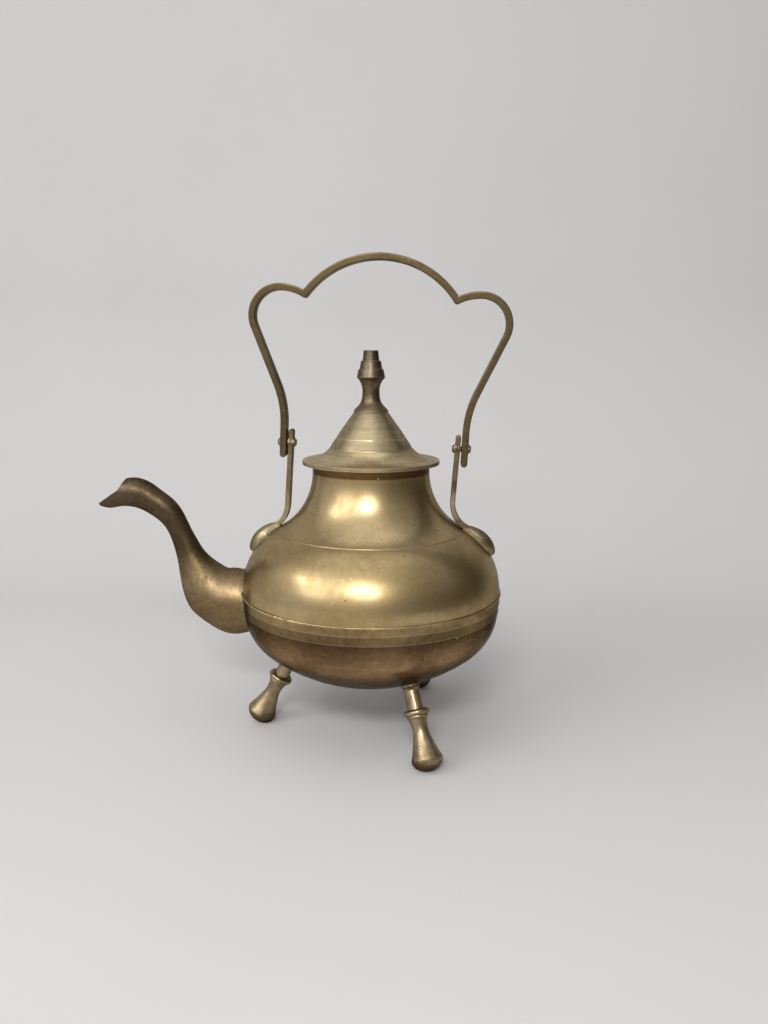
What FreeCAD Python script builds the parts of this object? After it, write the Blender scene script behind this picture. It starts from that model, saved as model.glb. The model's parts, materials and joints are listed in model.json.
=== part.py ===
import FreeCAD, Part
import math
import os

# A brass kettle on three turned legs: a spun body of three shells, a cast swan-neck spout,
# a cusped bail hinged on two cast lugs, and a lift-off lid with a turned finial.
# Millimetres. The body's axis is Z, the table is z = 0, and the spout points along -X.

# Sheet and joint clearances
WALL = 1.2                # spun sheet of the body
SOLDER_FILM = 0.05        # gap left between soldered or riveted faces
RUNNING_FIT = 0.08        # radial gap of the bail on its pins
HOLE_FIT = 0.1            # radial gap of rivets and tenons in their holes
CROWN = 0.6               # flat of a peened head, as a share of the head

# Lower bowl
BOWL_BOTTOM_Z = 32.0      # ground clearance under the bowl
BOWL_DEPTH = 48.5         # depth of the bowl below its band
BOWL_SIDE_R = 32.0        # round of the bowl's side
BAND_H = 5.4              # plain band above the bowl
LAP_H = 5.6               # rim that laps over the belly shell
BAND_STEP = 0.5           # step from the rim to the band, and from the band to the bowl
RIM_PROUD = 0.4           # how far the rim stands out from the belly above it
BEAD_R = 0.6              # round of the rim's rolled edge

# Belly and neck shells
BELLY_R = 80.0            # widest outer radius
BELLY_RISE = 1.5          # height of the belly's widest line above the seam
BELLY_ARC_R = 41.0        # round of the belly
SHOULDER_H = 73.0         # from the belly's widest line up to the straight neck
NECK_R = 35.8             # outer radius of the neck
NECK_H = 4.3              # straight neck under the lid
SHOULDER_LAP = 2.6        # neck's tongue inside the belly shell
SCRIBE_R = 0.55           # round tool that scribes the lines
SCRIBE_DEPTH = 0.35

# Spout
SPOUT_DROP = 11.8         # spout root's centre below the seam
SPOUT_WALL = 2.0
SPOUT_REACH_IN = 16.0     # how far the root's section is carried inside the belly before trimming
SPOUT_SOLDER_W = 1.5      # width of the solder fillet on the spout and on the belly
SPOUT_SIDE = 0.88         # section's width over its height
# Stations along the spout: out from the belly, up from the root, direction above level, height of section
SPOUT_STATIONS = [
    (4.5, 0.2, 4, 42.2),
    (15.4, 2.4, 14, 39.8),
    (23.0, 6.9, 30, 36.0),
    (27.3, 12.2, 45, 32.4),
    (29.9, 18.7, 62, 27.0),
    (33.7, 26.5, 70, 20.4),
    (38.3, 37.5, 70, 15.4),
    (41.9, 46.1, 66, 14.0),
    (45.6, 53.5, 53, 14.8),
    (52.3, 60.9, 39, 16.4),
    (61.8, 67.3, 25, 17.8),
    (71.8, 70.4, 12, 18.8),
    (83.0, 67.8, -4, 14.6),
    (93.3, 64.0, -12, 6.0),
]
LIP_TOP = (73.0, 82.0)    # mouth cut: above the top lip, the notch behind the bill, and past the bill's tip
LIP_NOTCH = (78.8, 72.4)
LIP_TIP = (97.5, 60.4)
LIP_NOTCH_R = 4.0

# Legs
LEG_TURNS = {"front": 182, "rear_right": 302, "rear_left": 66}  # degrees round the axis, set by hand
LEG_SEAT_R = 51.0         # where a leg's axis meets the bowl
LEG_PAD_R = 5.4
LEG_PAD_H = 3.2
LEG_GROOVE = 0.5          # depth of the line turned into the pad
LEG_STEM_R = 4.3
LEG_STEM_END_R = 4.8
LEG_RING_T = 14.4         # top of the ring, along the leg from the bowl
LEG_RING_R = 7.7
LEG_RING_H = 3.6
LEG_BEAD_R = 6.2
LEG_BEAD_H = 1.8
LEG_WAIST_R = 4.6
# Flare below the bead: shares of the way down to the foot, and of the widening
LEG_FLARE = [(0.3, 0.0), (0.55, 0.26), (0.8, 0.64)]
FOOT_R = 9.2
FOOT_DEPTH = 6.8          # rounded underside, along the leg
FOOT_FLAT = 0.5           # ground off where it stands
TENON_R = 2.5
TENON_HEAD_R = 3.8
TENON_HEAD_H = 1.4
WASHER_R = 5.5
WASHER_T = 1.2

# Lid
LID_R = 41.9
LID_EDGE_T = 2.3
LID_WALL = 1.4
LID_FLARE_R = 25.4        # where the flange flares into the cone
LID_FLARE_H = 9.2
LID_CONE_H = 31.2         # finial's seat above the neck's mouth
LID_SEAT_R = 10.2
LID_CONE_SWELL = 0.3      # bulge of the cone's side
LID_FLARE_SAG = 2.0
LID_LINES_H = (9.6, 15.8) # scribed lines, above the neck's mouth
COLLAR_H = 9.0
COLLAR_WALL = 1.2
COLLAR_FIT = 0.4          # radial gap in the neck

# Finial
FINIAL_LIP_R = 10.5
FINIAL_LIP_H = 0.7
FINIAL_WAIST_R = 5.2
FINIAL_WAIST_H = 12.4
FINIAL_SKIRT = (0.4, 0.3) # shares of the waist's height and of the lip's reach past the waist
FINIAL_KNOB_R = 8.6
FINIAL_KNOB_H = 20.6
FINIAL_KNOB_SAG = 1.0     # hollow under the knob
# Tiers on the knob, from the lowest: foot radius, top radius, height of the top, rounding of the top
FINIAL_TIERS = [(8.4, 7.6, 25.7, 0.4), (6.8, 6.1, 30.6, 0.4), (5.0, 4.4, 36.7, 0.3)]
FINIAL_EDGE_H = 0.6       # upright edge of the knob

# Bail and its lugs
LUG_CLEAR = 7.3           # lid's edge to a lug
LUG_T = 3.2
LUG_W = 6.0
LUG_TOP = 8.2             # stem above the pivot
LUG_LEAN = 4.0            # stems lean to the rear, degrees
LUG_EYE_R = 3.5
LUG_BEND_R = 18.0         # bend from the stem to the leaf
LEAF_L = 24.0             # length of the leaf round the belly
LEAF_LEAD = 7.8           # leaf's upper end above the upper rivet
LEAF_H = 6.0
LEAF_W = 6.6              # half width of the leaf
LEAF_SHARES = [(0.0, 0.5), (0.25, 0.82), (0.55, 1.0), (0.82, 0.86), (1.0, 0.5)]
RIVET_GAP = 0.8           # neck's tongue to the upper rivet's head
RIVET_PITCH = 9.0         # between a lug's two rivets
RIVET_R = 1.5
RIVET_HEAD_R = 3.0
RIVET_HEAD_H = 1.2
RIVET_BITE = 2.4          # rivet's length in the leaf
PIVOT_RISE = 10.8         # pivot's mean height above the neck's mouth
PIVOT_TILT = 1.75         # pivot axis falls towards the rear, degrees
BAIL_SHIFT = 1.7          # bail's middle towards the rear
BAIL_SKEW = 0.9           # bail's lean to the rear in its own plane, degrees
BAIL_GAP = 0.9            # lug's face to the bail
BAIL_T = 4.0
BAIL_W = 8.0
BAIL_EASE = 0.7           # eased edges
BAIL_TAIL = 8.0           # below the pivot, before the round end
BAIL_RISE = 111.1         # arch's top above the pivot
ARCH_R = 55.5
CUSP_X = 45.2             # half the distance between the cusps
SHOULDER_CREST = 3.8      # shoulder's top above the cusp
SHOULDER_R = 16.8
LEG_LEAN = 23.6           # slope of the bail's sides, degrees
LEG_BEND_R = 60.0
LEG_STRAIGHT = 10.4       # upright stretch above the pivot
PIN_R = 1.7
PIN_HEAD_R = 2.7
PIN_HEAD_H = 1.5

# Heights and radii that follow
BOWL_TOP_Z = BOWL_BOTTOM_Z + BOWL_DEPTH
LEDGE_Z = BOWL_TOP_Z + BAND_H
SEAM_Z = LEDGE_Z + LAP_H
BELLY_Z = SEAM_Z + BELLY_RISE
NECK_Z = BELLY_Z + SHOULDER_H
MOUTH_Z = NECK_Z + NECK_H
RIM_R = BELLY_R + RIM_PROUD
BAND_R = RIM_R - BAND_STEP
BOWL_R = BAND_R - BAND_STEP
SEAT_Z = MOUTH_Z + LID_CONE_H
BELLY_CENTRE_R = BELLY_R - BELLY_ARC_R
BOWL_SIDE_CENTRE_R = BOWL_R - BOWL_SIDE_R
# The bowl's floor is one large round that touches the side's round.
FLOOR_R = (BOWL_SIDE_CENTRE_R ** 2 + BOWL_DEPTH ** 2 - BOWL_SIDE_R ** 2) / (2 * (BOWL_DEPTH - BOWL_SIDE_R))
FLOOR_CENTRE_Z = BOWL_BOTTOM_Z + FLOOR_R
FLOOR_ANGLE = math.degrees(math.atan2(FLOOR_CENTRE_Z - BOWL_TOP_Z, BOWL_SIDE_CENTRE_R))
# The neck's hollow round touches the belly's round, and both end upright.
NECK_ARC_R = ((BELLY_R - NECK_R) ** 2 + SHOULDER_H ** 2) / (2 * (BELLY_R - NECK_R)) - BELLY_ARC_R
NECK_CENTRE_R = NECK_R + NECK_ARC_R
BELLY = (BELLY_CENTRE_R, BELLY_Z)
NECK = (NECK_CENTRE_R, NECK_Z)
TOUCH_ANGLE = math.degrees(math.atan2(SHOULDER_H, NECK_CENTRE_R - BELLY_CENTRE_R))
# Angles round the belly's arc: the tip of the neck's tongue, then the rivets and the leaf below it.
TONGUE_R = BELLY_ARC_R - WALL - SOLDER_FILM
TONGUE_ANGLE = TOUCH_ANGLE - math.degrees(SHOULDER_LAP / TONGUE_R)
UPPER_RIVET = TONGUE_ANGLE - math.degrees((RIVET_GAP + RIVET_HEAD_R) / TONGUE_R)
LOWER_RIVET = UPPER_RIVET - math.degrees(RIVET_PITCH / TONGUE_R)
LEAF_START = UPPER_RIVET + math.degrees(LEAF_LEAD / BELLY_ARC_R)
LEAF_TURN = math.degrees(LEAF_L / BELLY_ARC_R)
PIVOT_Z = MOUTH_Z + PIVOT_RISE
LUG_X = LID_R + LUG_CLEAR + BAIL_SHIFT
BAIL_X = LUG_X + LUG_T / 2 + BAIL_GAP + BAIL_T / 2

Vec = FreeCAD.Vector
AXIS = Vec(0, 0, 1)
SIDES = {"front": -1, "rear": 1}


def at(r, z):
    """A point of an outline, in the plane of X and Z."""
    return Vec(r, 0, z)


def polar(centre, radius, angle):
    turn = math.radians(angle)
    return at(centre[0] + radius * math.cos(turn), centre[1] + radius * math.sin(turn))


def chain(points):
    """Straight edges from point to point."""
    return [Part.LineSegment(a, b).toShape() for a, b in zip(points, points[1:])]


def arc_about(centre, radius, start, end):
    return Part.Arc(*(polar(centre, radius, a) for a in (start, (start + end) / 2, end))).toShape()


def sagged(a, b, sag):
    """An arc from a to b whose middle lies sag to the left of the chord."""
    along = b - a
    left = Vec(-along.z, 0, along.x).normalize()
    return Part.Arc(a, (a + b) / 2 + left * sag, b).toShape()


def quarter_ellipse(centre, across, down):
    """A quarter ellipse in the plane of X and Z, from its side point to its bottom point."""
    ellipse = Part.Ellipse(centre + Vec(across, 0, 0), centre - Vec(0, 0, down), centre)
    return Part.ArcOfEllipse(ellipse, 0, math.pi / 2).toShape()


def outline_face(edges):
    return Part.Face(Part.Wire(Part.__sortEdges__(edges)))


def turned(edges):
    """A solid of revolution about Z."""
    return outline_face(edges).revolve(Vec(0, 0, 0), AXIS, 360)


def rod(base, direction, radius, length):
    return Part.makeCylinder(radius, length, base, direction)


def scribe(shape, r, z, normal):
    """Cuts a round-bottomed line into a turned shape, where its surface at r, z faces along normal."""
    lift = SCRIBE_R - SCRIBE_DEPTH
    ring = Part.makeTorus(r + lift * normal.x, SCRIBE_R, Vec(0, 0, z + lift * normal.z), AXIS)
    return shape.cut(ring)


def stand_on(shape, seat, direction):
    """Moves a shape made about the origin so that its +Z runs along direction from seat."""
    shape.Placement = FreeCAD.Placement(seat, FreeCAD.Rotation(AXIS, direction))
    return shape


# Body
def bowl_edges(offset):
    """The bowl's floor and side, from the pole to the band, moved out by offset."""
    return [
        arc_about((0, FLOOR_CENTRE_Z), FLOOR_R + offset, -90, -FLOOR_ANGLE),
        arc_about((BOWL_SIDE_CENTRE_R, BOWL_TOP_Z), BOWL_SIDE_R + offset, -FLOOR_ANGLE, 0),
    ]


def belly_round(offset):
    """The belly's round, from the seam to the shoulder line, moved out by offset."""
    start = -math.degrees(math.asin(BELLY_RISE / (BELLY_ARC_R + offset)))
    return arc_about(BELLY, BELLY_ARC_R + offset, start, TOUCH_ANGLE)


def neck_hollow(offset, short=0):
    """The neck's hollow, from the shoulder line or short of it to the straight neck, moved out by offset."""
    return arc_about(NECK, NECK_ARC_R - offset, 180 + TOUCH_ANGLE - short, 180)


def belly_foot(offset):
    """Where the belly's round, moved out by offset, meets the height of the seam."""
    reach = BELLY_ARC_R + offset
    return at(BELLY_CENTRE_R + math.sqrt(reach ** 2 - BELLY_RISE ** 2), SEAM_Z)


def rim_bead(offset):
    """The rolled edge of the rim, up to the height of the seam, moved out by offset."""
    reach = BEAD_R + offset
    low = -math.degrees(math.acos(offset / reach))
    high = math.degrees(math.asin(BEAD_R / reach))
    return arc_about((RIM_R, SEAM_Z - BEAD_R), reach, low, high)


def band_edges(offset):
    """The steps of the band and the rim, from the bowl's top to the rolled edge, moved out by offset."""
    bead = rim_bead(offset)
    return chain([
        at(BOWL_R + offset, BOWL_TOP_Z), at(BAND_R + offset, BOWL_TOP_Z), at(BAND_R + offset, LEDGE_Z),
        at(RIM_R + offset, LEDGE_Z), bead.Vertexes[0].Point]) + [bead]


def body_hull(grow):
    """The body's outside as a plain solid, pushed out by grow."""
    edges = bowl_edges(grow) + band_edges(grow)
    edges += chain([edges[-1].Vertexes[1].Point, belly_foot(grow)])
    edges += [belly_round(grow), neck_hollow(grow)]
    edges += chain([
        at(NECK_R + grow, NECK_Z), at(NECK_R + grow, MOUTH_Z), at(0, MOUTH_Z), at(0, BOWL_BOTTOM_Z - grow)])
    return turned(edges)


def bowl_cavity():
    """The space inside the bowl, clear of its wall by the solder film."""
    gap = WALL + SOLDER_FILM
    edges = bowl_edges(-gap)
    edges += chain([at(BOWL_R - gap, BOWL_TOP_Z), at(0, BOWL_TOP_Z), at(0, BOWL_BOTTOM_Z + gap)])
    return turned(edges)


def lower_bowl():
    inner = BOWL_R - WALL
    edges = bowl_edges(0) + band_edges(0)
    edges += chain([
        edges[-1].Vertexes[1].Point, at(RIM_R - WALL, SEAM_Z), at(RIM_R - WALL, LEDGE_Z), at(inner, LEDGE_Z),
        at(inner, BOWL_TOP_Z)])
    edges += bowl_edges(-WALL)
    edges += chain([at(0, BOWL_BOTTOM_Z + WALL), at(0, BOWL_BOTTOM_Z)])
    return turned(edges)


def shoulder_scribed(shell):
    """The line scribed along the seam of belly and neck."""
    line = polar(BELLY, BELLY_ARC_R, TOUCH_ANGLE)
    return scribe(shell, line.x, line.z, polar((0, 0), 1, TOUCH_ANGLE))


def belly_shell():
    skirt = RIM_R - WALL
    edges = [belly_round(0), belly_round(-WALL)]
    edges += chain([polar(BELLY, BELLY_ARC_R, TOUCH_ANGLE), polar(BELLY, BELLY_ARC_R - WALL, TOUCH_ANGLE)])
    edges += chain([belly_foot(-WALL), at(skirt - WALL, SEAM_Z), at(skirt - WALL, LEDGE_Z),
                    at(skirt, LEDGE_Z), at(skirt, SEAM_Z), belly_foot(0)])
    return shoulder_scribed(turned(edges))


def neck_shell():
    """The neck, with a tongue that goes down inside the belly's edge."""
    tongue_in = TONGUE_R - WALL
    joggle = math.degrees(SHOULDER_LAP / (NECK_ARC_R + WALL))
    edges = [neck_hollow(0), neck_hollow(-WALL, joggle)]
    edges += [arc_about(BELLY, radius, TONGUE_ANGLE, TOUCH_ANGLE) for radius in (tongue_in, TONGUE_R)]
    edges += chain([
        polar(NECK, NECK_ARC_R + WALL, 180 + TOUCH_ANGLE - joggle), polar(BELLY, tongue_in, TOUCH_ANGLE)])
    edges += chain([polar(BELLY, tongue_in, TONGUE_ANGLE), polar(BELLY, TONGUE_R, TONGUE_ANGLE)])
    edges += chain([polar(BELLY, TONGUE_R, TOUCH_ANGLE), polar(BELLY, BELLY_ARC_R, TOUCH_ANGLE)])
    edges += chain([at(NECK_R, NECK_Z), at(NECK_R, MOUTH_Z),
                    at(NECK_R - WALL, MOUTH_Z), at(NECK_R - WALL, NECK_Z)])
    return shoulder_scribed(turned(edges))


# Spout
def spout_point(out, up):
    return at(-BELLY_R - out, SEAM_Z - SPOUT_DROP + up)


def spout_section(out, up, direction, height, inset):
    """An oval across the spout, inset from its outside."""
    tall = height / 2 - inset
    wide = height * SPOUT_SIDE / 2 - inset
    turn = math.radians(direction)
    upright = Vec(math.sin(turn), 0, math.cos(turn))
    centre = spout_point(out, up)
    long, short = sorted((upright * tall, Vec(0, wide, 0)), key=lambda axis: -axis.Length)
    oval = Part.Ellipse(centre + long, centre + short, centre)
    return Part.Wire(oval.toShape())


def spout_form(inset):
    height = SPOUT_STATIONS[0][3]
    sections = [spout_section(-SPOUT_REACH_IN, 0, 0, height, inset)]
    sections += [spout_section(*station, inset) for station in SPOUT_STATIONS]
    return Part.makeLoft(sections, True)


def mouth_cut():
    """The wedge taken off above the bill, with a rounded notch."""
    top, notch, tip = (spout_point(*p) for p in (LIP_TOP, LIP_NOTCH, LIP_TIP))
    beyond = at(tip.x, top.z)
    block = outline_face(chain([top, notch, tip, beyond, top]))
    block.translate(Vec(0, -SPOUT_STATIONS[0][3], 0))
    wedge = block.extrude(Vec(0, 2 * SPOUT_STATIONS[0][3], 0))
    corner = [e for e in wedge.Edges
              if all(abs(v.X - notch.x) + abs(v.Z - notch.z) < 1e-6 for v in e.Vertexes)]
    return wedge.makeFillet(LIP_NOTCH_R, corner)


def spout_bore():
    """The water's way through the spout, carried on into the body."""
    return spout_form(SPOUT_WALL)


def spout(bore):
    return spout_form(0).cut(body_hull(SOLDER_FILM)).cut(bore).cut(mouth_cut())


def spout_solder():
    """The fillet of solder where the spout's root meets the belly."""
    ring = spout_form(-SPOUT_SOLDER_W).common(body_hull(SPOUT_SOLDER_W))
    return ring.cut(body_hull(SOLDER_FILM)).cut(spout_form(-SOLDER_FILM))


# Legs
def leg_seat():
    """The point of the bowl's outline where a leg stands, and the outward normal there."""
    angle = -math.degrees(math.acos(LEG_SEAT_R / FLOOR_R))
    return polar((0, FLOOR_CENTRE_Z), FLOOR_R, angle), polar((0, 0), 1, angle)


def leg_outline(foot_t):
    """A leg's outline with its seat at z = 0 and the leg hanging down; the foot is widest at foot_t."""
    ring_end = LEG_RING_T + LEG_RING_H
    bead_end = ring_end + LEG_BEAD_H
    head = WALL + WASHER_T + 2 * SOLDER_FILM
    pad_top = LEG_PAD_R ** 2 / (2 * LEG_SEAT_R)
    groove_t = LEG_PAD_H / 2
    edges = chain([
        at(0, head + TENON_HEAD_H), at(TENON_HEAD_R * CROWN, head + TENON_HEAD_H), at(TENON_HEAD_R, head),
        at(TENON_R, head), at(TENON_R, pad_top), at(LEG_PAD_R, pad_top), at(LEG_PAD_R, LEG_GROOVE - groove_t),
        at(LEG_PAD_R - LEG_GROOVE, -groove_t), at(LEG_PAD_R, -LEG_GROOVE - groove_t),
        at(LEG_STEM_R, -LEG_PAD_H), at(LEG_STEM_END_R, -LEG_RING_T), at(LEG_BEAD_R, -LEG_RING_T)])
    edges.append(sagged(at(LEG_BEAD_R, -LEG_RING_T), at(LEG_BEAD_R, -ring_end), LEG_RING_R - LEG_BEAD_R))
    neck_r = LEG_WAIST_R + (LEG_BEAD_R - LEG_WAIST_R) / 2
    edges.append(sagged(at(LEG_BEAD_R, -ring_end), at(neck_r, -bead_end), LEG_BEAD_H / 4))
    way, widening = foot_t - bead_end, FOOT_R - LEG_WAIST_R
    flare = Part.BSplineCurve()
    flare.interpolate(
        [at(neck_r, -bead_end)]
        + [at(LEG_WAIST_R + widening * wide, -bead_end - way * down) for down, wide in LEG_FLARE]
        + [at(FOOT_R, -foot_t)],
        InitialTangent=Vec(-1, 0, -4), FinalTangent=Vec(1, 0, -3))
    edges.append(flare.toShape())
    edges.append(quarter_ellipse(at(0, -foot_t), FOOT_R, FOOT_DEPTH))
    edges += chain([at(0, -foot_t - FOOT_DEPTH), at(0, head + TENON_HEAD_H)])
    return edges


def leg():
    """One leg, standing square to the bowl under +X."""
    seat, normal = leg_seat()
    lean, fall = normal.x, -normal.z
    below = math.sqrt((FOOT_R * lean) ** 2 + (FOOT_DEPTH * fall) ** 2)
    foot_t = (seat.z - below + FOOT_FLAT) / fall
    solid = stand_on(turned(leg_outline(foot_t)), seat, -normal)
    reach = LEG_SEAT_R + foot_t
    ground = Part.makeBox(2 * reach, 2 * reach, reach, Vec(-reach, -reach, -reach))
    tenon = rod(seat + normal * LEG_PAD_H, -normal, TENON_R, LEG_PAD_H + WALL + WASHER_T + TENON_HEAD_H)
    head = solid.common(bowl_cavity())
    return solid.cut(body_hull(SOLDER_FILM)).fuse([tenon, head]).removeSplitter().cut(ground)


def leg_hole():
    seat, normal = leg_seat()
    return rod(seat + normal * WALL, -normal, TENON_R + HOLE_FIT, 3 * WALL)


def leg_washer():
    """The washer inside the bowl that a leg's tenon is peened over."""
    seat, normal = leg_seat()
    disc = rod(seat, -normal, WASHER_R, WALL + WASHER_T)
    return disc.common(bowl_cavity()).cut(leg_hole().fuse(rod(seat, -normal, TENON_R + HOLE_FIT, 9 * WALL)))


def round_the_axis(shape, angle):
    copy = shape.copy()
    copy.rotate(Vec(0, 0, 0), AXIS, angle)
    return copy


# Lid
def lid_shell():
    inset = LID_WALL * math.sqrt(0.5)
    seat = at(LID_SEAT_R, SEAT_Z)
    flare = at(LID_FLARE_R, MOUTH_Z + LID_FLARE_H)
    brim = at(LID_R, MOUTH_Z + LID_EDGE_T)
    inner_seat = at(LID_SEAT_R - inset, SEAT_Z - LID_WALL)
    inner_flare = flare - Vec(inset, 0, inset)
    inner_brim = at(collar_radius() - COLLAR_WALL, MOUTH_Z)
    bore = TENON_R + HOLE_FIT
    edges = [sagged(seat, flare, LID_CONE_SWELL), sagged(flare, brim, -LID_FLARE_SAG)]
    edges += chain([brim, at(LID_R, MOUTH_Z), inner_brim])
    edges += [sagged(inner_brim, inner_flare, LID_FLARE_SAG / 2)]
    edges += [sagged(inner_flare, inner_seat, -LID_CONE_SWELL)]
    edges += chain([inner_seat, at(bore, SEAT_Z - LID_WALL), at(bore, SEAT_Z), seat])
    shell = turned(edges)
    for height in LID_LINES_H:
        shell = scribe(shell, *lid_surface(edges, MOUTH_Z + height))
    return shell


def lid_surface(edges, z):
    """Radius, height and outward normal of the lid's outside at height z."""
    level = Part.LineSegment(at(0, z), at(LID_R, z)).toShape()
    hits = [edge.section(level) for edge in edges[:2]]
    point = max((v.Point for hit in hits for v in hit.Vertexes), key=lambda p: p.x)
    edge = next(e for e, hit in zip(edges, hits) if hit.Vertexes)
    along = edge.tangentAt(edge.Curve.parameter(point))
    normal = Vec(abs(along.z), 0, abs(along.x))
    return point.x, point.z, normal


def collar_radius():
    return NECK_R - WALL - COLLAR_FIT


def lid_collar():
    """The skirt under the lid that centres it in the neck."""
    outer = collar_radius()
    inner = outer - COLLAR_WALL
    foot = MOUTH_Z - COLLAR_H
    return turned(chain([
        at(inner, foot), at(outer, foot), at(outer, MOUTH_Z), at(inner, MOUTH_Z), at(inner, foot)]))


def finial():
    waist = at(FINIAL_WAIST_R, SEAT_Z + FINIAL_WAIST_H)
    lip = at(FINIAL_LIP_R, SEAT_Z + FINIAL_LIP_H)
    knob = at(FINIAL_KNOB_R, SEAT_Z + FINIAL_KNOB_H)
    head = SEAT_Z - LID_WALL - WASHER_T - 2 * SOLDER_FILM
    skirt = Part.BSplineCurve()
    rise, reach = FINIAL_SKIRT
    middle = at(FINIAL_WAIST_R + (FINIAL_LIP_R - FINIAL_WAIST_R) * reach, SEAT_Z + FINIAL_WAIST_H * rise)
    skirt.interpolate([lip, middle, waist], InitialTangent=Vec(-2, 0, 3), FinalTangent=Vec(0, 0, 1))
    edges = [skirt.toShape(), sagged(waist, knob, FINIAL_KNOB_SAG)]
    top = at(FINIAL_KNOB_R, SEAT_Z + FINIAL_KNOB_H + FINIAL_EDGE_H)
    edges += chain([knob, top])
    for foot_r, top_r, height, rounding in FINIAL_TIERS:
        tier_z = SEAT_Z + height
        edges += chain([top, at(foot_r, top.z), at(top_r, tier_z - rounding), at(top_r - rounding, tier_z)])
        top = at(top_r - rounding, tier_z)
    edges += chain([
        top, at(0, top.z), at(0, head - TENON_HEAD_H),
        at(TENON_HEAD_R * CROWN, head - TENON_HEAD_H), at(TENON_HEAD_R, head), at(TENON_R, head),
        at(TENON_R, SEAT_Z), at(FINIAL_LIP_R, SEAT_Z), lip])
    return turned(edges)


def finial_washer():
    """The washer under the lid's top that the finial's tenon is peened over."""
    top = SEAT_Z - LID_WALL - SOLDER_FILM
    bore = TENON_R + HOLE_FIT
    return turned(chain([
        at(bore, top), at(WASHER_R, top), at(WASHER_R, top - WASHER_T), at(bore, top - WASHER_T),
        at(bore, top)]))


# Bail and its lugs
def bail_place():
    """From the bail's own frame, with the pivot axis along X through its origin, to the body's frame."""
    return FreeCAD.Placement(Vec(BAIL_SHIFT, 0, PIVOT_Z), FreeCAD.Rotation(Vec(0, 1, 0), PIVOT_TILT))


def strap(path, thickness, width):
    """A flat strap along a path in the plane of X and Z, with round ends."""
    band = Part.Wire(path).makeOffset2D(thickness / 2)
    face = Part.Face(band)
    face.translate(Vec(0, -width / 2, 0))
    return face.extrude(Vec(0, width, 0))


def eased(solid, radius):
    """Rounds the edges that run along both flat sides of a strap."""
    long_edges = [e for e in solid.Edges if abs(e.BoundBox.YLength) < 1e-6]
    return solid.makeFillet(radius, long_edges)


def bail_line():
    """The bail's middle line: the arch, and both sides from the cusp down to the tail."""
    lean = math.radians(LEG_LEAN)
    arch_z = BAIL_RISE - ARCH_R
    cusp = at(CUSP_X, arch_z + math.sqrt(ARCH_R ** 2 - CUSP_X ** 2))
    crest = cusp.z + SHOULDER_CREST
    tail, knee = at(BAIL_X, -BAIL_TAIL), at(BAIL_X, LEG_STRAIGHT)
    bend = (BAIL_X + LEG_BEND_R, LEG_STRAIGHT)
    bend_end = polar(bend, LEG_BEND_R, 180 - LEG_LEAN)
    shoulder_z = crest - SHOULDER_R
    run = (shoulder_z - SHOULDER_R * math.sin(lean) - bend_end.z) / math.cos(lean)
    hip = bend_end + Vec(math.sin(lean), 0, math.cos(lean)) * run
    shoulder = (hip.x - SHOULDER_R * math.cos(lean), shoulder_z)
    top = at(shoulder[0], crest)
    reach = top.x - cusp.x
    brow_r = (reach ** 2 + SHOULDER_CREST ** 2) / (2 * SHOULDER_CREST)
    brow_turn = math.degrees(math.asin(reach / brow_r))
    arch_turn = math.degrees(math.asin(CUSP_X / ARCH_R))
    side = [
        Part.LineSegment(tail, knee).toShape(),
        arc_about(bend, LEG_BEND_R, 180, 180 - LEG_LEAN),
        Part.LineSegment(bend_end, hip).toShape(),
        arc_about(shoulder, SHOULDER_R, -LEG_LEAN, 90),
        arc_about((top.x, crest - brow_r), brow_r, 90, 90 + brow_turn),
    ]
    other_side = [e.mirror(Vec(0, 0, 0), Vec(1, 0, 0)) for e in side]
    arch = arc_about((0, arch_z), ARCH_R, 90 - arch_turn, 90 + arch_turn)
    return Part.__sortEdges__(side + [arch] + other_side)


def bail():
    solid = eased(strap(bail_line(), BAIL_T, BAIL_W), BAIL_EASE)
    solid.rotate(Vec(0, 0, 0), Vec(0, 1, 0), BAIL_SKEW)
    pin_hole = rod(Vec(-2 * BAIL_X, 0, 0), Vec(1, 0, 0), PIN_R + RUNNING_FIT, 4 * BAIL_X)
    solid = solid.cut(pin_hole)
    solid.Placement = bail_place()
    return solid


def lug_line(side):
    """A lug's middle line at +X: its stem, its bend, and its run along the belly; and the place of its eye."""
    place = bail_place().multVec(Vec(side * LUG_X, 0, 0))
    eye = at(abs(place.x), place.z)
    lean = -side * LUG_LEAN
    down = polar((0, 0), 1, lean - 90)
    outward = polar((0, 0), 1, lean)
    spine = BELLY_ARC_R + SOLDER_FILM + LUG_T / 2
    # The bend's centre lies LUG_BEND_R outside the stem, and its round touches the run along the belly.
    start = eye + outward * LUG_BEND_R - at(*BELLY)
    along = start.dot(down)
    run = -along - math.sqrt(along ** 2 - start.dot(start) + (spine + LUG_BEND_R) ** 2)
    knee = eye + down * run
    centre = knee + outward * LUG_BEND_R
    angle = math.degrees(math.atan2(centre.z - BELLY_Z, centre.x - BELLY_CENTRE_R))
    path = [
        Part.LineSegment(eye - down * (LUG_TOP - LUG_T / 2), knee).toShape(),
        arc_about((centre.x, centre.z), LUG_BEND_R, 180 + lean, 180 + angle),
        arc_about(BELLY, spine, angle, LOWER_RIVET),
    ]
    return path, eye


def leaf():
    """The leaf at a lug's foot, lying round the belly's arc at +X, before it is trimmed to the shell."""
    sections = []
    for share, size in LEAF_SHARES:
        angle = LEAF_START - LEAF_TURN * share
        centre = polar(BELLY, BELLY_ARC_R, angle)
        up = polar((0, 0), 1, angle)
        oval = Part.Ellipse(centre + Vec(0, LEAF_W * size, 0), centre + up * LEAF_H * size, centre)
        sections.append(Part.Wire(oval.toShape()))
    return Part.makeLoft(sections, True)


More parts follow.
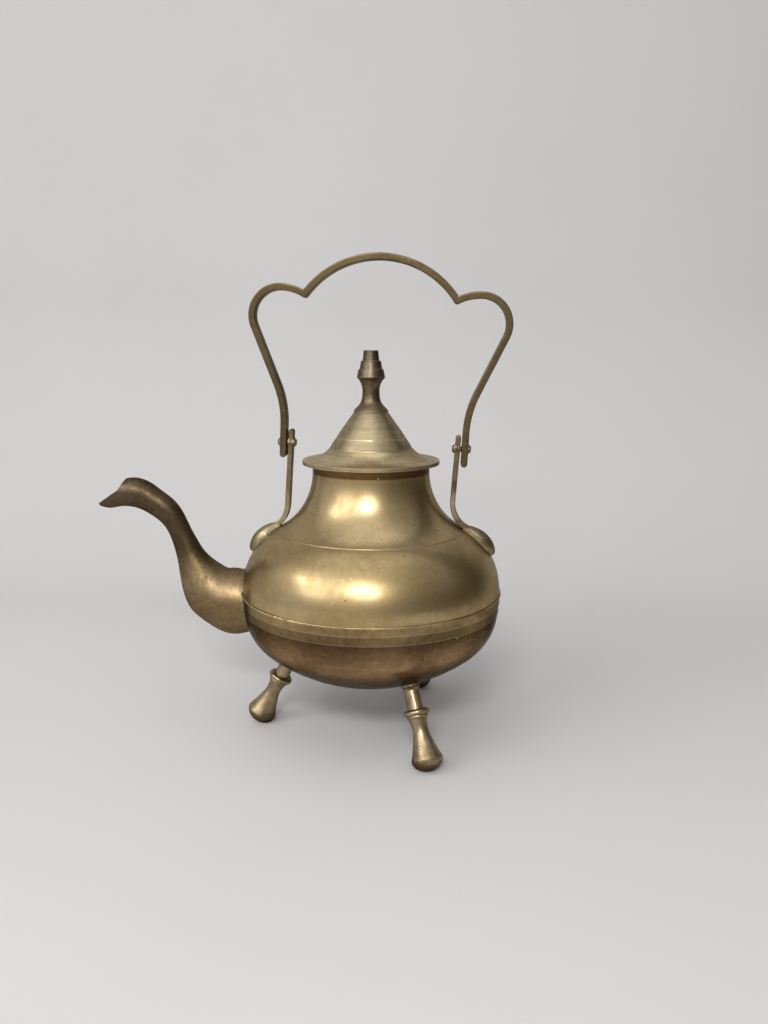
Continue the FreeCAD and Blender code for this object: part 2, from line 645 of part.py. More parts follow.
def lug(side):
    path, eye = lug_line(side)
    stem = eased(strap(path, LUG_T, LUG_W), LUG_T / 5)
    tilt = FreeCAD.Rotation(Vec(0, 1, 0), side * PIVOT_TILT).multVec(Vec(1, 0, 0))
    boss = rod(eye - tilt * LUG_T / 2, tilt, LUG_EYE_R, LUG_T)
    solid = stem.fuse([leaf(), boss]).removeSplitter().cut(body_hull(SOLDER_FILM))
    solid = solid.cut(rod(eye - tilt * LUG_T, tilt, PIN_R + HOLE_FIT, 2 * LUG_T))
    for rivet_angle in (UPPER_RIVET, LOWER_RIVET):
        base, normal = rivet_seat(rivet_angle)
        solid = solid.cut(rod(base, normal, RIVET_R + HOLE_FIT, WALL + RIVET_BITE + HOLE_FIT))
    return on_side(solid, side)


def on_side(shape, side):
    """A shape made at +X, turned to the rear or to the spout's side."""
    return shape if side > 0 else shape.mirror(Vec(0, 0, 0), Vec(1, 0, 0))


def rivet_seat(angle):
    """A rivet's place on the inside of the belly at +X, and the direction out through the wall."""
    normal = polar((0, 0), 1, angle)
    return polar(BELLY, BELLY_ARC_R - WALL, angle), normal


def rivet(angle):
    base, normal = rivet_seat(angle)
    dish = RIVET_HEAD_R ** 2 / (2 * (BELLY_ARC_R - WALL)) + SOLDER_FILM
    solid = turned(chain([
        at(0, WALL + RIVET_BITE), at(RIVET_R, WALL + RIVET_BITE), at(RIVET_R, -dish), at(RIVET_HEAD_R, -dish),
        at(RIVET_HEAD_R * CROWN, -dish - RIVET_HEAD_H), at(0, -dish - RIVET_HEAD_H), at(0, WALL + RIVET_BITE)]))
    return stand_on(solid, base, normal)


def lug_rivets(side):
    return Part.makeCompound([on_side(rivet(a), side) for a in (UPPER_RIVET, LOWER_RIVET)])


def rivet_holes(side):
    seats = [rivet_seat(a) for a in (UPPER_RIVET, LOWER_RIVET)]
    holes = [rod(base - n * WALL, n, RIVET_R + HOLE_FIT, 3 * WALL) for base, n in seats]
    return [on_side(hole, side) for hole in holes]


def pivot_pin(side):
    """A rivet through a lug's eye and the bail's end, headed at both ends."""
    inner = LUG_X - LUG_T / 2 - SOLDER_FILM - PIN_HEAD_R * math.tan(math.radians(abs(LUG_LEAN - PIVOT_TILT)))
    outer = BAIL_X + BAIL_T / 2 + RUNNING_FIT + PIN_HEAD_R * math.tan(math.radians(BAIL_SKEW))
    crown = PIN_HEAD_R * CROWN
    solid = turned(chain([
        at(0, inner - PIN_HEAD_H), at(crown, inner - PIN_HEAD_H), at(PIN_HEAD_R, inner - PIN_HEAD_H * 0.3),
        at(PIN_HEAD_R, inner), at(PIN_R, inner), at(PIN_R, outer), at(PIN_HEAD_R, outer),
        at(PIN_HEAD_R, outer + PIN_HEAD_H * 0.3), at(crown, outer + PIN_HEAD_H), at(0, outer + PIN_HEAD_H),
        at(0, inner - PIN_HEAD_H)]))
    solid.rotate(Vec(0, 0, 0), Vec(0, 1, 0), side * 90)
    solid.Placement = bail_place().multiply(solid.Placement)
    return solid


def build():
    """Every piece by its name."""
    bore = spout_bore()
    bowl, belly = lower_bowl().cut(bore), belly_shell().cut(bore)
    pieces = {"spout": spout(bore), "spout_solder": spout_solder()}
    for name, turn in LEG_TURNS.items():
        pieces["leg_" + name] = round_the_axis(leg(), turn)
        pieces["leg_washer_" + name] = round_the_axis(leg_washer(), turn)
        bowl = bowl.cut(round_the_axis(leg_hole(), turn))
    for name, side in SIDES.items():
        pieces["bail_lug_" + name] = lug(side)
        pieces["lug_rivets_" + name] = lug_rivets(side)
        pieces["pivot_pin_" + name] = pivot_pin(side)
        belly = belly.cut(rivet_holes(side))
    pieces["lower_bowl"], pieces["belly_shell"], pieces["neck_shell"] = bowl, belly, neck_shell()
    pieces["bail_handle"] = bail()
    pieces["lid_shell"], pieces["lid_collar"] = lid_shell(), lid_collar()
    pieces["lid_finial"], pieces["finial_washer"] = finial(), finial_washer()
    return pieces


os.makedirs("parts", exist_ok=True)
for piece_name, piece in build().items():
    print(piece_name, len(piece.Solids), piece.isValid(), round(piece.Volume, 1))
    piece.exportStep(f"parts/{piece_name}.step")
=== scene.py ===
# %% [markdown]
# # A footed brass kettle, dressed for its portrait
# The CAD model gives every piece its shape and its place. This script loads it, sets up a camera and a plain
# studio, mixes aged brass out of shader nodes, and gives every piece the brass that suits how it was made.

# %% Load the frame
import json
import math
import bpy
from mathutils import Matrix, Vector

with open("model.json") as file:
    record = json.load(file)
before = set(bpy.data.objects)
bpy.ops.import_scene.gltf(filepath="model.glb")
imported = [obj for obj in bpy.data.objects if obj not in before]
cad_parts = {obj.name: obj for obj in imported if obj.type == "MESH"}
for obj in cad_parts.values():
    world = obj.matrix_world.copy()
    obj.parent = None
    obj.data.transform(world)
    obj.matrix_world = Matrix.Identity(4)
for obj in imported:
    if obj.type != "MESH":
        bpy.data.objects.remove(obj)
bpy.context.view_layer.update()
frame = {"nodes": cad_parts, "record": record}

MM = 0.001

# %% [markdown]
# ## Camera
# The camera was fitted to the photo: it stands 52 cm away and 24 cm above the floor, looks down 11 degrees,
# and stands 5 degrees towards the rear of the pot, so that the spout goes a little away.

# %% Camera
CAMERA_AZIMUTH = math.radians(5.0)
CAMERA_DISTANCE = 0.5177
CAMERA_HEIGHT = 0.2397
CAMERA_PITCH = math.radians(10.94)
SENSOR_WIDTH = 36
LENS = 29.88
LENS_SHIFT = 0.0127

bpy.ops.object.camera_add(
    location=(CAMERA_DISTANCE * math.sin(CAMERA_AZIMUTH),
              -CAMERA_DISTANCE * math.cos(CAMERA_AZIMUTH),
              CAMERA_HEIGHT),
    rotation=(math.pi / 2 - CAMERA_PITCH, 0, CAMERA_AZIMUTH))
camera = bpy.context.object
camera.data.sensor_width = SENSOR_WIDTH
camera.data.lens = LENS
camera.data.shift_x = LENS_SHIFT
camera.data.clip_start = 0.01
camera.data.dof.use_dof = False
bpy.context.scene.camera = camera
bpy.context.scene.view_settings.view_transform = "Standard"

# %% [markdown]
# ## Node helpers
# Materials, the floor and the room are all wired from nodes, so a few short helpers come first. A Mix node
# has one set of sockets for each kind of data; the numbers below are those of its colours.

# %% Node helpers
MIX_SHARE, MIX_FIRST, MIX_SECOND, MIX_RESULT = 0, 6, 7, 2


def tone(red, green, blue):
    """A colour, or a tint to multiply one with."""
    return (red, green, blue, 1)


def link(tree, source, target):
    tree.links.new(source, target)


def new_node(tree, kind, **settings):
    """Adds a shader node; keys that name an input set its value, the others set the node's own properties."""
    node = tree.nodes.new("ShaderNode" + kind)
    for key, value in settings.items():
        if hasattr(node, key):
            setattr(node, key, value)
        else:
            node.inputs[key.replace("_", " ")].default_value = value
    return node


def new_material(name):
    material = bpy.data.materials.new(name)
    material.use_nodes = True
    return material, material.node_tree, material.node_tree.nodes["Principled BSDF"]


def mix_colour(tree, amount, first, second):
    """Mixes two colours; amount is a socket, and each colour is a socket or four numbers."""
    node = new_node(tree, "Mix", data_type="RGBA")
    link(tree, amount, node.inputs[MIX_SHARE])
    for socket, colour in ((node.inputs[MIX_FIRST], first), (node.inputs[MIX_SECOND], second)):
        if isinstance(colour, tuple):
            socket.default_value = colour
        else:
            link(tree, colour, socket)
    return node.outputs[MIX_RESULT]


def maths(tree, operation, a, b):
    """A math node; each of a and b is a number or a socket."""
    node = new_node(tree, "Math", operation=operation)
    for socket, value in zip(node.inputs, (a, b)):
        if isinstance(value, (int, float)):
            socket.default_value = value
        else:
            link(tree, value, socket)
    return node.outputs[0]


def scaled(tree, value, factor):
    return maths(tree, "MULTIPLY", value, factor)


def spread(tree, value, low, high):
    """Stretches the part of a value between low and high to 0 and 1, smoothly."""
    node = new_node(tree, "MapRange", interpolation_type="SMOOTHSTEP")
    node.inputs["From Min"].default_value = low
    node.inputs["From Max"].default_value = high
    link(tree, value, node.inputs["Value"])
    return node.outputs["Result"]


def noise_at(tree, place, scale, detail=3.0):
    node = new_node(tree, "TexNoise", Scale=scale, Detail=detail)
    link(tree, place, node.inputs["Vector"])
    return node.outputs["Fac"]


# %% [markdown]
# ## Studio
# A pale floor sweeps up into a pale wall. One soft window in front gives the long highlight down the middle,
# a narrow one at the left gives the second, the room goes dark on the right, and out of the frame the floor
# is painted dark there as painted shade.

# %% Floor and wall
STAGE_WIDTH = 6
STAGE_DEPTH = 1.6
WALL_START = 0.55
WALL_HEIGHT = 2.4
SWEEP_R = 0.3

bpy.ops.mesh.primitive_plane_add(size=1, location=(0, 0, 0))
stage = bpy.context.object
stage.name = "stage_sweep"
bpy.ops.object.mode_set(mode="EDIT")
bpy.ops.transform.resize(value=(STAGE_WIDTH, 2 * STAGE_DEPTH, 1))
bpy.ops.transform.translate(value=(0, WALL_START - STAGE_DEPTH, 0))
bpy.ops.mesh.select_all(action="DESELECT")
bpy.ops.object.mode_set(mode="OBJECT")
for edge in stage.data.edges:
    edge.select = all(stage.data.vertices[i].co.y > 0 for i in edge.vertices)
for vertex in stage.data.vertices:
    vertex.select = vertex.co.y > 0
bpy.ops.object.mode_set(mode="EDIT")
bpy.ops.mesh.extrude_region_move(TRANSFORM_OT_translate={"value": (0, 0, WALL_HEIGHT)})
bpy.ops.object.mode_set(mode="OBJECT")
bend = stage.modifiers.new("sweep", "BEVEL")
bend.width = SWEEP_R
bend.segments = 24
bend.limit_method = "ANGLE"
bpy.ops.object.modifier_apply(modifier=bend.name)
bpy.ops.object.shade_smooth()

# %% The floor's grey: faintly clouded, and painted dark beyond the frame's right side, a painted shade for the metal to reflect
FLOOR_DIM = tone(0.61, 0.60, 0.595)
FLOOR_PALE = tone(0.67, 0.66, 0.655)
FLOOR_PAINTED_SHADE = tone(0.10, 0.09, 0.08)
SHADE_START = 0.58
SHADE_END = 1.0

material, tree, shader = new_material("stage_grey")
shader.inputs["Roughness"].default_value = 0.9
shader.inputs["Specular IOR Level"].default_value = 0.2
spot = new_node(tree, "TexCoord").outputs["Object"]
side = new_node(tree, "SeparateXYZ")
link(tree, spot, side.inputs[0])
clouded = new_node(tree, "ValToRGB")
clouded.color_ramp.elements[0].color = FLOOR_DIM
clouded.color_ramp.elements[1].color = FLOOR_PALE
link(tree, noise_at(tree, spot, 3.0, 4.0), clouded.inputs["Fac"])
# painted shade: the floor turns dark beyond the frame's right side, so the metal's right side reflects
# darkness
painted_shade_share = spread(tree, side.outputs["X"], SHADE_START, SHADE_END)
link(tree, mix_colour(tree, painted_shade_share, clouded.outputs["Color"], FLOOR_PAINTED_SHADE), shader.inputs["Base Color"])
stage.data.materials.append(material)

# %% Windows
LIT_POINT = Vector((0, 0, 0.14))


def area_light(name, azimuth, elevation, distance, size, power):
    """A soft window; azimuth 0 is over the camera's side, and positive goes to the camera's right."""
    turn = CAMERA_AZIMUTH + math.radians(azimuth)
    rise = math.radians(elevation)
    back = Vector((math.sin(turn) * math.cos(rise), -math.cos(turn) * math.cos(rise), math.sin(rise)))
    bpy.ops.object.light_add(type="AREA", location=LIT_POINT + back * distance)
    lamp = bpy.context.object
    lamp.name = name
    lamp.data.shape = "RECTANGLE"
    lamp.data.size, lamp.data.size_y = size
    lamp.data.energy = power
    lamp.rotation_euler = back.to_track_quat("Z", "Y").to_euler()


area_light("window_front", azimuth=-7, elevation=32, distance=1.25, size=(0.40, 0.16), power=7.0)
area_light("window_left", azimuth=-70, elevation=34, distance=1.3, size=(0.10, 0.12), power=0.9)
area_light("bounce_left", azimuth=-48, elevation=30, distance=1.5, size=(0.9, 0.8), power=5.4)
area_light("ceiling", azimuth=-20, elevation=78, distance=1.5, size=(1.3, 1.3), power=2.0)

# %% Room: bright overhead and to the left, dim and warm elsewhere
BRIGHT_SIDE = (-0.52, -0.10, 0.85)
ROOM_DIM = tone(0.13, 0.118, 0.102)
ROOM_BRIGHT = tone(0.95, 0.95, 0.95)

world = bpy.data.worlds.new("room")
bpy.context.scene.world = world
world.use_nodes = True
tree = world.node_tree
direction = new_node(tree, "TexCoord")
facing = new_node(tree, "VectorMath", operation="DOT_PRODUCT")
facing.inputs[1].default_value = BRIGHT_SIDE
link(tree, direction.outputs["Generated"], facing.inputs[0])
towards = new_node(tree, "MapRange")
towards.inputs["From Min"].default_value = -1
link(tree, facing.outputs["Value"], towards.inputs["Value"])
shades = new_node(tree, "ValToRGB")
dim_end, bright_end = shades.color_ramp.elements
dim_end.position, dim_end.color = 0.30, ROOM_DIM
bright_end.position, bright_end.color = 0.92, ROOM_BRIGHT
link(tree, towards.outputs["Result"], shades.inputs["Fac"])
sky = tree.nodes["Background"]
sky.inputs["Strength"].default_value = 0.75
link(tree, shades.outputs["Color"], sky.inputs["Color"])

# %% [markdown]
# ## Marks of age
# Old brass is never one colour. Six small node groups give the marks that the pieces share: cloudy patina,
# fine turning lines, pits, scratches, masks for worn edges and for corners that take grime and painted shade,
# and file marks. Each group only hands out values, and the shader itself stays in the material that uses it.

# %% A node group's start and finish
def new_group(name, inputs, outputs):
    """An empty shader group with named sockets, its own coordinates inside, and ends to wire up."""
    group = bpy.data.node_groups.new(name, "ShaderNodeTree")
    for label, value in inputs.items():
        socket = group.interface.new_socket(label, in_out="INPUT", socket_type="NodeSocketFloat")
        socket.default_value = value
    for label in outputs:
        group.interface.new_socket(label, in_out="OUTPUT", socket_type="NodeSocketFloat")
    start = group.nodes.new("NodeGroupInput")
    finish = group.nodes.new("NodeGroupOutput")
    place = new_node(group, "TexCoord").outputs["Object"]
    return group, start, finish, place


# %% Patina: clouds some centimetres wide, broken up by mottling
CLOUD_SHARE = 0.68
GRAIN_SCALE = 2600.0

patina, start, finish, place = new_group("patina", {"Clouds": 26.0, "Mottle": 240.0}, ["Tone", "Grain"])
layers = []
for label, detail in (("Clouds", 5.0), ("Mottle", 4.0)):
    texture = new_node(patina, "TexNoise", Detail=detail, Roughness=0.6, Distortion=0.6)
    link(patina, place, texture.inputs["Vector"])
    link(patina, start.outputs[label], texture.inputs["Scale"])
    layers.append(spread(patina, texture.outputs["Fac"], 0.34, 0.66))
cloudy = scaled(patina, layers[0], CLOUD_SHARE)
mottled = scaled(patina, layers[1], 1 - CLOUD_SHARE)
link(patina, maths(patina, "ADD", cloudy, mottled), finish.inputs["Tone"])
link(patina, noise_at(patina, place, GRAIN_SCALE, 2.0), finish.inputs["Grain"])

# %% Turning lines: noise that changes only with height and with distance from the axis
SWEEPS_PER_METRE = 320.0

turning, start, finish, place = new_group("turning_lines", {"Lines per metre": 2400.0}, ["Line", "Sweep"])
split = new_node(turning, "SeparateXYZ")
link(turning, place, split.inputs[0])
squares = [maths(turning, "POWER", split.outputs[axis], 2.0) for axis in "XY"]
reach = maths(turning, "SQRT", maths(turning, "ADD", *squares), 0.0)
ring = new_node(turning, "CombineXYZ")
link(turning, reach, ring.inputs["X"])
link(turning, split.outputs["Z"], ring.inputs["Y"])
fine = new_node(turning, "TexNoise", Detail=2.0)
link(turning, ring.outputs[0], fine.inputs["Vector"])
link(turning, start.outputs["Lines per metre"], fine.inputs["Scale"])
link(turning, fine.outputs["Fac"], finish.inputs["Line"])
broad = noise_at(turning, ring.outputs[0], SWEEPS_PER_METRE)
link(turning, spread(turning, broad, 0.35, 0.65), finish.inputs["Sweep"])

# %% Pits: a few specks, each in its own cell; dark ones are pits, and pale ones dust
pits, start, finish, place = new_group("pits", {"Cells": 260.0, "Share": 0.3, "Size": 0.15}, ["Pit"])
cell = new_node(pits, "TexVoronoi")
link(pits, place, cell.inputs["Vector"])
link(pits, start.outputs["Cells"], cell.inputs["Scale"])
pick = new_node(pits, "SeparateColor")
link(pits, cell.outputs["Color"], pick.inputs[0])
chosen = maths(pits, "LESS_THAN", pick.outputs[0], start.outputs["Share"])
width = maths(pits, "MULTIPLY", start.outputs["Size"], pick.outputs[1])
inside = maths(pits, "LESS_THAN", cell.outputs["Distance"], width)
link(pits, maths(pits, "MULTIPLY", chosen, inside), finish.inputs["Pit"])

# %% Scratches: hairlines that run every way, where a noise stretched long crosses its middle
SCRATCH_TURNS = (0.35, 1.25, 2.2)
STRETCH = (1.0, 0.035, 1.0)
PATCHES = 30.0

scratches, start, finish, place = new_group("scratches", {"Fineness": 900.0}, ["Scratch"])
lines = None
for turn in SCRATCH_TURNS:
    aim = new_node(scratches, "Mapping")
    aim.inputs["Rotation"].default_value = (turn, 0.4, turn * 1.7)
    aim.inputs["Scale"].default_value = STRETCH
    link(scratches, place, aim.inputs["Vector"])
    streak = new_node(scratches, "TexNoise", Detail=1.0)
    link(scratches, aim.outputs[0], streak.inputs["Vector"])
    link(scratches, start.outputs["Fineness"], streak.inputs["Scale"])
    crest = spread(scratches, streak.outputs["Fac"], 0.70, 0.78)
    lines = crest if lines is None else maths(scratches, "MAXIMUM", lines, crest)
patchy = spread(scratches, noise_at(scratches, place, PATCHES), 0.5, 0.66)
link(scratches, maths(scratches, "MULTIPLY", lines, patchy), finish.inputs["Scratch"])

# %% Edges and corners: where a rounded normal differs from the true one, and where little light gets in
corners, start, finish, place = new_group(
    "edges_and_corners", {"Edge width": 0.0007, "Corner reach": 0.006}, ["Edge", "Corner"])
rounded = new_node(corners, "Bevel", samples=4)
link(corners, start.outputs["Edge width"], rounded.inputs["Radius"])
true_normal = new_node(corners, "NewGeometry")
agree = new_node(corners, "VectorMath", operation="DOT_PRODUCT")
link(corners, rounded.outputs[0], agree.inputs[0])
link(corners, true_normal.outputs["Normal"], agree.inputs[1])
sharp = maths(corners, "SUBTRACT", 1.0, agree.outputs["Value"])
link(corners, spread(corners, sharp, 0.02, 0.22), finish.inputs["Edge"])
light = new_node(corners, "AmbientOcclusion", samples=6)
link(corners, start.outputs["Corner reach"], light.inputs["Distance"])
closed_in = maths(corners, "SUBTRACT", 1.0, light.outputs["AO"])
link(corners, spread(corners, closed_in, 0.25, 0.8), finish.inputs["Corner"])

# %% File marks: short notches across the lugs, here and there
FILED_PATCHES = 70.0

files, start, finish, place = new_group("file_marks", {"Notches": 330.0}, ["Notch"])
comb = new_node(files, "TexWave", bands_direction="DIAGONAL", Distortion=2.5, Detail=2.0)
comb.inputs["Detail Scale"].default_value = 2.0
link(files, place, comb.inputs["Vector"])
link(files, start.outputs["Notches"], comb.inputs["Scale"])
here = spread(files, noise_at(files, place, FILED_PATCHES, 1.0), 0.42, 0.58)
link(files, maths(files, "MULTIPLY", comb.outputs["Fac"], here), finish.inputs["Notch"])
print("node groups:", [group.name for group in bpy.data.node_groups])

# %% [markdown]
# ## One recipe, many brasses
# The recipe lays the marks over two tones of brass. Each brass then says how bright, how rough and how turned
# or cast its metal is, and may change its tones with height; some of these tints are painted highlights and
# painted shade. A grey tint at the rim keeps the metal from glowing where it turns away from the eye.

# %% Tones that change with height
PLAIN = tone(1, 1, 1)


def height_ramp(tree, stops):
    """Tints that change with height: stops are (height in millimetres, tint)."""
    place = new_node(tree, "SeparateXYZ")
    link(tree, new_node(tree, "TexCoord").outputs["Object"], place.inputs[0])
    low, high = stops[0][0], stops[-1][0]
    share = new_node(tree, "MapRange")
    share.inputs["From Min"].default_value = low * MM
    share.inputs["From Max"].default_value = high * MM
    link(tree, place.outputs["Z"], share.inputs["Value"])
    ramp = new_node(tree, "ValToRGB")
    elements = ramp.color_ramp.elements
    elements[0].color = stops[0][1]
    elements[1].color = stops[-1][1]
    for height, colour in stops[1:-1]:
        elements.new((height - low) / (high - low)).color = colour
    link(tree, share.outputs["Result"], ramp.inputs["Fac"])
    return ramp.outputs["Color"]


def step(height, below, above, half=0.2):
    """Two stops for a tint that changes at an edge."""
    return [(height - half, below), (height + half, above)]


def tinted(tree, base, stops):
    node = new_node(tree, "Mix", data_type="RGBA", blend_type="MULTIPLY")
    node.inputs[MIX_SHARE].default_value = 1
    link(tree, base, node.inputs[MIX_FIRST])
    link(tree, height_ramp(tree, stops), node.inputs[MIX_SECOND])
    return node.outputs[MIX_RESULT]


# %% A group placed in a material
def use_group(tree, group, **values):
    node = tree.nodes.new("ShaderNodeGroup")
    node.node_tree = group
    for label, value in values.items():
        node.inputs[label.replace("_", " ")].default_value = value
    return node


# %% The recipe
# A dark tone for pits, file marks and grime, and for the painted shade in corners where little light gets in
GRIME_AND_SHADE = tone(0.055, 0.038, 0.022)
WORN = tone(0.78, 0.63, 0.38)
RIM_TONE = tone(0.46, 0.47, 0.48)
SPECK_SHARE = 0.6
SCRATCH_SHARE = 0.3
NOTCH_SHARE = 0.7
DUST_CELLS = 430.0
DUST_SIZE = 0.22
PIT_DEPTH = 1.2
SCRATCH_DEPTH = 0.12
RELIEF_DEPTH = 0.00012
DENTS = 24.0


def aged_brass(name, bright, dark, roughness, turned=0.25, mottle=240.0, cast=0.0, wear=0.6, grime=0.8,
               pitted=0.35, tint=None, flat=0.12, dented=0.0, filed=0.0, dusty=0.0, rim=RIM_TONE):
    """A brass material. turned is the depth of its turning lines, cast the depth of its casting skin, dented
    the size of its shallow dents in metres, filed the depth of its file marks, dusty the share of cells with
    a pale speck, flat how far broad turned rings go dark, and rim its tone where it turns away."""
    material, tree, shader = new_material("brass_" + name)
    clouds = use_group(tree, patina, Mottle=mottle)
    lathe = use_group(tree, turning)
    specks = use_group(tree, pits, Share=pitted)
    hairs = use_group(tree, scratches)
    masks = use_group(tree, corners)

    base = mix_colour(tree, clouds.outputs["Tone"], dark, bright)
    if tint:
        base = tinted(tree, base, tint)
    base = mix_colour(tree, scaled(tree, lathe.outputs["Sweep"], flat), base, dark)
    # Corners where little light gets in are darkened: painted shade, which also stands for grime in crevices
    base = mix_colour(tree, scaled(tree, masks.outputs["Corner"], grime), base, GRIME_AND_SHADE)
    base = mix_colour(tree, scaled(tree, masks.outputs["Edge"], wear), base, WORN)
    base = mix_colour(tree, scaled(tree, hairs.outputs["Scratch"], SCRATCH_SHARE), base, WORN)
    base = mix_colour(tree, scaled(tree, specks.outputs["Pit"], SPECK_SHARE), base, GRIME_AND_SHADE)
    if dusty:
        dust = use_group(tree, pits, Cells=DUST_CELLS, Share=dusty, Size=DUST_SIZE)
        base = mix_colour(tree, scaled(tree, dust.outputs["Pit"], SPECK_SHARE), base, WORN)
    if filed:
        notches = use_group(tree, files)
        base = mix_colour(tree, scaled(tree, notches.outputs["Notch"], NOTCH_SHARE), base, GRIME_AND_SHADE)
    link(tree, base, shader.inputs["Base Color"])
    shader.inputs["Metallic"].default_value = 1
    shader.inputs["Specular Tint"].default_value = rim

    dull = maths(tree, "SUBTRACT", 1.0, clouds.outputs["Tone"])
    rough = maths(tree, "ADD", roughness, scaled(tree, dull, 0.13))
    rough = maths(tree, "ADD", rough, scaled(tree, masks.outputs["Corner"], 0.25))
    rough = maths(tree, "ADD", rough, scaled(tree, specks.outputs["Pit"], 0.4))
    link(tree, rough, shader.inputs["Roughness"])

    height = scaled(tree, lathe.outputs["Line"], turned)
    height = maths(tree, "ADD", height, scaled(tree, clouds.outputs["Grain"], cast))
    height = maths(tree, "SUBTRACT", height, scaled(tree, specks.outputs["Pit"], PIT_DEPTH))
    height = maths(tree, "SUBTRACT", height, scaled(tree, hairs.outputs["Scratch"], SCRATCH_DEPTH))
    if filed:
        height = maths(tree, "SUBTRACT", height, scaled(tree, notches.outputs["Notch"], filed))
    relief = new_node(tree, "Bump", Strength=0.35, Distance=RELIEF_DEPTH)
    link(tree, height, relief.inputs["Height"])
    if dented:
        waves = new_node(tree, "Bump", Strength=1.0, Distance=dented)
        place = new_node(tree, "TexCoord").outputs["Object"]
        link(tree, noise_at(tree, place, DENTS, 1.0), waves.inputs["Height"])
        link(tree, waves.outputs[0], relief.inputs["Normal"])
    link(tree, relief.outputs[0], shader.inputs["Normal"])
    return material


# %% [markdown]
# ## The brasses of this pot
# Thin sheet was spun and polished, so it is bright and smooth. The spout, legs and finial were cast and stay
# duller. The bail and lugs were cut from flat bar and filed. The heights below, in millimetres, are where the
# tones change; they follow the edges of the CAD pieces.

# %% Heights at which the tones change
FOOT_TOP_Z = 9
BOWL_BOTTOM_Z = 32
BAND_BOTTOM_Z = 80.5
BAND_TOP_Z = 85.9
RIM_EDGE_Z = 90.35
RIM_TOP_Z = 91.6
NECK_RING_Z = 165.05
NECK_TOP_Z = 169.9
FLANGE_EDGE_Z = 172.35
LID_LINES_Z = (179.9, 186.1)
LID_TOP_Z = 202
FINIAL_TOP_Z = 240
LEAF_TOP_Z = 148
LUG_TOP_Z = 192

# %% Spun sheet: belly and neck in one brass, the bowl with its bands in another
BRASSES = {}
BRASSES["spun_brass"] = dict(
    bright=tone(0.56, 0.433, 0.243), dark=tone(0.38, 0.274, 0.126), roughness=0.25, turned=0.20,
    grime=0.12, pitted=0.14, dented=0.0006, dusty=0.14,
    tint=[(88, tone(0.95, 0.93, 0.90)), (118, PLAIN), (160, PLAIN),
          # From the neck's ring to its top the neck is painted dark: painted shade under the lid's flange
          *step(NECK_RING_Z, tone(0.92, 0.86, 0.78), tone(0.30, 0.23, 0.17), 0.25),
          *step(NECK_TOP_Z, tone(0.34, 0.26, 0.19), tone(0.75, 0.69, 0.60), 0.3)])
# The bowl's dark brass is a painted reflection of a dark table beneath it
BRASSES["bowl_brass"] = dict(
    bright=tone(0.30, 0.210, 0.118), dark=tone(0.14, 0.089, 0.045), roughness=0.22, turned=0.25,
    grime=0.35, dented=0.0011, dusty=0.06, rim=tone(0.34, 0.37, 0.41),
    # Its tints are darker at the bottom, a painted shade; lighter round 66 mm, a painted reflection; darker
    # just under its bands; lighter on the bands; and bright on the rim bead, a painted highlight
    tint=[(BOWL_BOTTOM_Z, tone(0.40, 0.36, 0.33)), (48, tone(0.86, 0.82, 0.79)),
          (66, tone(1.45, 1.36, 1.27)), (77, tone(0.60, 0.53, 0.46)),
          *step(BAND_BOTTOM_Z, tone(0.40, 0.36, 0.31), tone(0.80, 0.80, 0.72)),
          *step(BAND_TOP_Z, tone(0.92, 0.95, 0.82), tone(1.40, 1.46, 1.28)),
          *step(RIM_EDGE_Z, tone(1.46, 1.52, 1.36), tone(2.3, 2.5, 2.4), 0.15),
          (RIM_TOP_Z, tone(2.4, 2.7, 2.7))])

# %% Spun lid: strongly turned, with two bright lines round its cone, painted highlights where its scribed lines catch the light
LOW_LINE_Z, HIGH_LINE_Z = LID_LINES_Z
LINE_HALF = 0.5
BRASSES["lid_brass"] = dict(
    bright=tone(0.59, 0.485, 0.308), dark=tone(0.30, 0.238, 0.144), roughness=0.29, turned=1.0,
    flat=0.3, wear=0.85, grime=0.4,
    tint=[(170, tone(1.0, 0.97, 0.92)),
          *step(FLANGE_EDGE_Z, tone(1.0, 0.97, 0.92), tone(1.8, 1.8, 1.75), 0.15),
          (LOW_LINE_Z - LINE_HALF, tone(1.2, 1.2, 1.13)), (LOW_LINE_Z, tone(1.6, 1.6, 1.5)),
          (LOW_LINE_Z + LINE_HALF, tone(0.9, 0.89, 0.87)),
          (HIGH_LINE_Z - LINE_HALF, PLAIN), (HIGH_LINE_Z, tone(1.7, 1.7, 1.6)),
          (HIGH_LINE_Z + LINE_HALF, PLAIN), (LID_TOP_Z, tone(0.95, 0.93, 0.9))])

# %% Cast pieces: the spout is painted lighter at its root, a painted highlight, and the legs are painted dark underneath, a painted shade
BRASSES["spout_brass"] = dict(
    bright=tone(0.140, 0.102, 0.060), dark=tone(0.064, 0.044, 0.021), roughness=0.36, turned=0.0,
    cast=0.9, mottle=420.0, pitted=0.5, wear=0.40, flat=0.0, dented=0.0006,
    # The root is painted lighter than the rest: a painted highlight
    tint=[(58, tone(2.2, 2.1, 1.9)), (84, tone(2.0, 1.9, 1.7)), (94, tone(2.6, 2.6, 2.5)),
          (114, tone(0.78, 0.75, 0.72)), (160, tone(1.0, 1.0, 1.05))])
BRASSES["leg_brass"] = dict(
    bright=tone(0.47, 0.362, 0.232), dark=tone(0.150, 0.103, 0.058), roughness=0.29, turned=0.0,
    cast=0.5, wear=0.5, flat=0.0, rim=tone(0.38, 0.40, 0.43),
    # The feet are painted dark at the bottom: painted shade underneath
    tint=[(0, tone(0.42, 0.38, 0.33)), (5.5, tone(0.62, 0.58, 0.52)), (FOOT_TOP_Z, tone(1.05, 1.05, 1.02)),
          (50, PLAIN)])
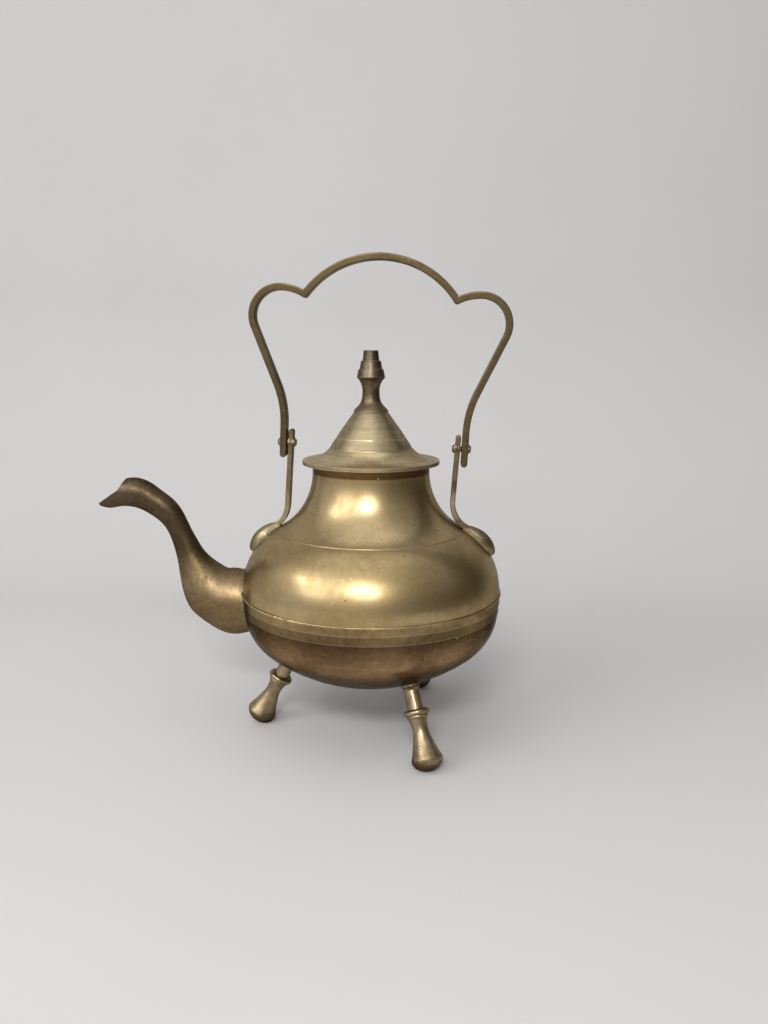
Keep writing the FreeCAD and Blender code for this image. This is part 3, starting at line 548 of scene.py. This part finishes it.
BRASSES["finial_brass"] = dict(
    bright=tone(0.27, 0.215, 0.142), dark=tone(0.110, 0.084, 0.054), roughness=0.33, turned=0.6,
    cast=0.3, flat=0.2, wear=0.55, grime=0.7,
    # The skirt's edge and the knob are painted bright: painted highlights
    tint=[(201.5, tone(1.9, 1.9, 1.8)),
          *step(202.5, tone(1.9, 1.9, 1.8), tone(1.3, 1.25, 1.15)),
          (212, tone(0.88, 0.84, 0.76)),
          *step(222, tone(0.66, 0.63, 0.58), tone(0.92, 0.92, 0.94), 1.0),
          (FINIAL_TOP_Z, tone(0.74, 0.74, 0.76))])

# %% Flat bar: the bail is dark, painted shade on its flat face that turns to the front, and the lugs are bright at their leaves and filed along their stems
LUG_STEM = tone(0.75, 0.70, 0.64)
BRASSES["bail_brass"] = dict(
    bright=tone(0.205, 0.151, 0.076), dark=tone(0.080, 0.056, 0.026), roughness=0.27, turned=0.0,
    cast=0.5, wear=0.6, flat=0.0)
BRASSES["lug_brass"] = dict(
    bright=tone(0.34, 0.275, 0.172), dark=tone(0.16, 0.120, 0.070), roughness=0.32, turned=0.0,
    cast=0.6, wear=0.8, flat=0.0, filed=7.0,
    tint=[(125, tone(1.5, 1.55, 1.5)), (LEAF_TOP_Z, tone(1.4, 1.4, 1.35)), (156, LUG_STEM),
          (LUG_TOP_Z, LUG_STEM)])

# %% Small pieces: pins, rivets and washers, and the solder round the spout's root
BRASSES["fastener_brass"] = dict(
    bright=tone(0.28, 0.225, 0.142), dark=tone(0.14, 0.107, 0.066), roughness=0.36, turned=0.0,
    cast=0.6, wear=0.6, flat=0.0)
BRASSES["solder"] = dict(
    bright=tone(0.26, 0.205, 0.122), dark=tone(0.11, 0.080, 0.044), roughness=0.42, turned=0.0,
    cast=1.0, wear=0.3, grime=0.5, flat=0.0)

# %% [markdown]
# ## Dressing the pieces
# Every CAD piece takes the brass of its material slot. The finial shares the lid's slot but was cast, so it
# has a brass of its own.

# %% Dress every piece
OWN_BRASS = {"lid_finial": "finial_brass"}
brass = {name: aged_brass(name, **recipe) for name, recipe in BRASSES.items()}
for part in frame["record"]["subparts"]:
    node = frame["nodes"][part["node"]]
    node.data.materials.clear()
    node.data.materials.append(brass[OWN_BRASS.get(part["node"], part["material_slot"])])
print("brasses:", list(brass))
